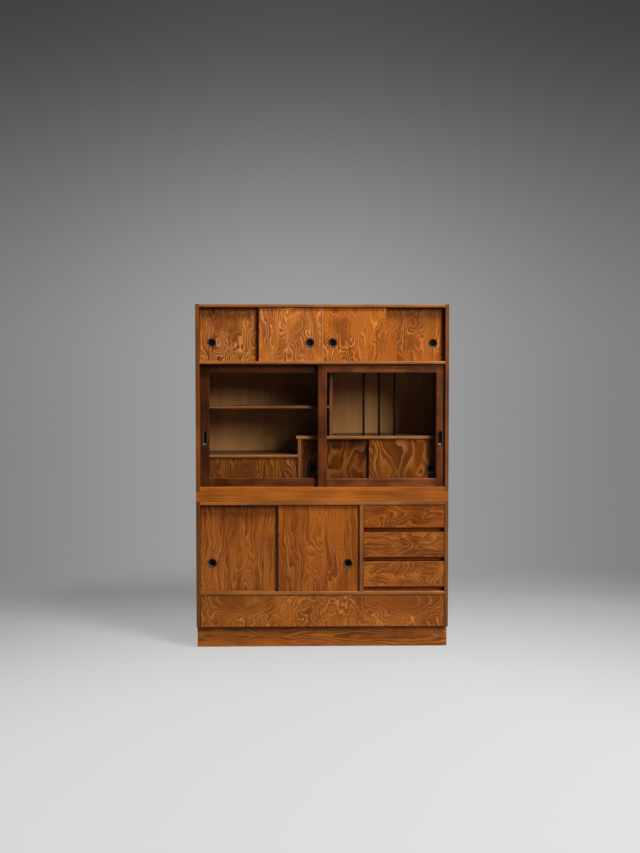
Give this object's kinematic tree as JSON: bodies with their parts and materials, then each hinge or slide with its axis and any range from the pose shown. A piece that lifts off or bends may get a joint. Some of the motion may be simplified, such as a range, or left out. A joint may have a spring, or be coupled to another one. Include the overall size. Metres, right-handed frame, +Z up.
{
  "type": "cupboard",
  "caption": "Tall two-part wooden cupboard: sliding panel doors on top, glazed sliding sashes in the middle, sliding doors and drawers below, on a recessed plinth.",
  "frame": {"origin": "on the floor under the middle of the case", "axes": "+Z up, the front faces -Y, +X to the viewer's right"},
  "size_m": [1.21, 0.42, 1.652],
  "materials": {
    "case_wood": "satin lacquer, straight grain",
    "figured_veneer": "satin lacquer, bold rotary-cut figure",
    "sash_frame": "satin red-brown lacquer",
    "inner_wood": "plain, thin lacquer",
    "dark_wood": "near-black stain",
    "glass": "clear",
    "pull_metal": "blackened, slightly worn"
  },
  "bodies": {
    "case": {"centre_partition": "inner_wood", "counter_bearers": "case_wood", "counter_front_rail": "case_wood", "counter_top": "case_wood", "drawer_partition": "case_wood", "drawer_runners": "inner_wood", "left_shelf": "inner_wood", "lower_back_panel": "inner_wood", "lower_floor_board": "inner_wood", "lower_left_side": "case_wood", "lower_right_side": "case_wood", "lower_sill": "case_wood", "lower_top_board": "case_wood", "plinth_front": "case_wood", "plinth_returns": "case_wood", "raised_shelf": "inner_wood", "step_shelf": "inner_wood", "step_upright": "inner_wood", "top_divider": "case_wood", "tray_dividers": "dark_wood", "upper_back_panel": "inner_wood", "upper_base_board": "case_wood", "upper_left_side": "case_wood", "upper_middle_board": "case_wood", "upper_right_side": "case_wood", "upper_top_board": "case_wood"},
    "top_door_1": {"top_door_1_panel": "figured_veneer", "top_door_1_pull": "pull_metal"},
    "top_door_2": {"top_door_2_panel": "figured_veneer", "top_door_2_pull": "pull_metal"},
    "top_door_3": {"top_door_3_panel": "figured_veneer", "top_door_3_pull": "pull_metal"},
    "top_door_4": {"top_door_4_panel": "figured_veneer", "top_door_4_pull": "pull_metal"},
    "inner_door_left": {"inner_door_left_panel": "figured_veneer", "inner_door_left_pull": "pull_metal"},
    "inner_door_right": {"inner_door_right_panel": "figured_veneer", "inner_door_right_pull": "pull_metal"},
    "lower_door_left": {"lower_door_left_panel": "figured_veneer", "lower_door_left_pull": "pull_metal"},
    "lower_door_right": {"lower_door_right_panel": "figured_veneer", "lower_door_right_pull": "pull_metal"},
    "left_sash": {"left_sash_stiles": "sash_frame", "left_sash_rails": "sash_frame", "left_sash_pane": "glass", "left_sash_pull": "pull_metal"},
    "right_sash": {"right_sash_stiles": "sash_frame", "right_sash_rails": "sash_frame", "right_sash_pane": "glass", "right_sash_pull": "pull_metal"},
    "drawer_1": {"drawer_1_front": "figured_veneer", "drawer_1_box": "inner_wood"},
    "drawer_2": {"drawer_2_front": "figured_veneer", "drawer_2_box": "inner_wood"},
    "drawer_3": {"drawer_3_front": "figured_veneer", "drawer_3_box": "inner_wood"},
    "long_drawer": {"long_drawer_front": "figured_veneer", "long_drawer_box": "inner_wood"},
    "step_drawer": {"step_drawer_front": "figured_veneer", "step_drawer_box": "inner_wood"}
  },
  "joints": [
    {"name": "top_door_1_slide", "type": "slide", "parent": "case", "child": "top_door_1", "axis": [1, 0, 0], "range_m": [0, 0.2822]},
    {"name": "top_door_2_slide", "type": "slide", "parent": "case", "child": "top_door_2", "axis": [1, 0, 0], "range_m": [-0.2822, 0]},
    {"name": "top_door_3_slide", "type": "slide", "parent": "case", "child": "top_door_3", "axis": [1, 0, 0], "range_m": [0, 0.2822]},
    {"name": "top_door_4_slide", "type": "slide", "parent": "case", "child": "top_door_4", "axis": [1, 0, 0], "range_m": [-0.2822, 0]},
    {"name": "inner_door_left_slide", "type": "slide", "parent": "case", "child": "inner_door_left", "axis": [1, 0, 0], "range_m": [0, 0.329]},
    {"name": "inner_door_right_slide", "type": "slide", "parent": "case", "child": "inner_door_right", "axis": [1, 0, 0], "range_m": [-0.329, 0]},
    {"name": "lower_door_left_slide", "type": "slide", "parent": "case", "child": "lower_door_left", "axis": [1, 0, 0], "range_m": [0, 0.374]},
    {"name": "lower_door_right_slide", "type": "slide", "parent": "case", "child": "lower_door_right", "axis": [1, 0, 0], "range_m": [-0.374, 0]},
    {"name": "left_sash_slide", "type": "slide", "parent": "case", "child": "left_sash", "axis": [1, 0, 0], "range_m": [0, 0.5655]},
    {"name": "right_sash_slide", "type": "slide", "parent": "case", "child": "right_sash", "axis": [1, 0, 0], "range_m": [-0.5655, 0]},
    {"name": "drawer_1_slide", "type": "slide", "parent": "case", "child": "drawer_1", "axis": [0, -1, 0], "range_m": [0, 0.26]},
    {"name": "drawer_2_slide", "type": "slide", "parent": "case", "child": "drawer_2", "axis": [0, -1, 0], "range_m": [0, 0.26]},
    {"name": "drawer_3_slide", "type": "slide", "parent": "case", "child": "drawer_3", "axis": [0, -1, 0], "range_m": [0, 0.26]},
    {"name": "long_drawer_slide", "type": "slide", "parent": "case", "child": "long_drawer", "axis": [0, -1, 0], "range_m": [0, 0.27]},
    {"name": "step_drawer_slide", "type": "slide", "parent": "case", "child": "step_drawer", "axis": [0, -1, 0], "range_m": [0, 0.014]}
  ]
}
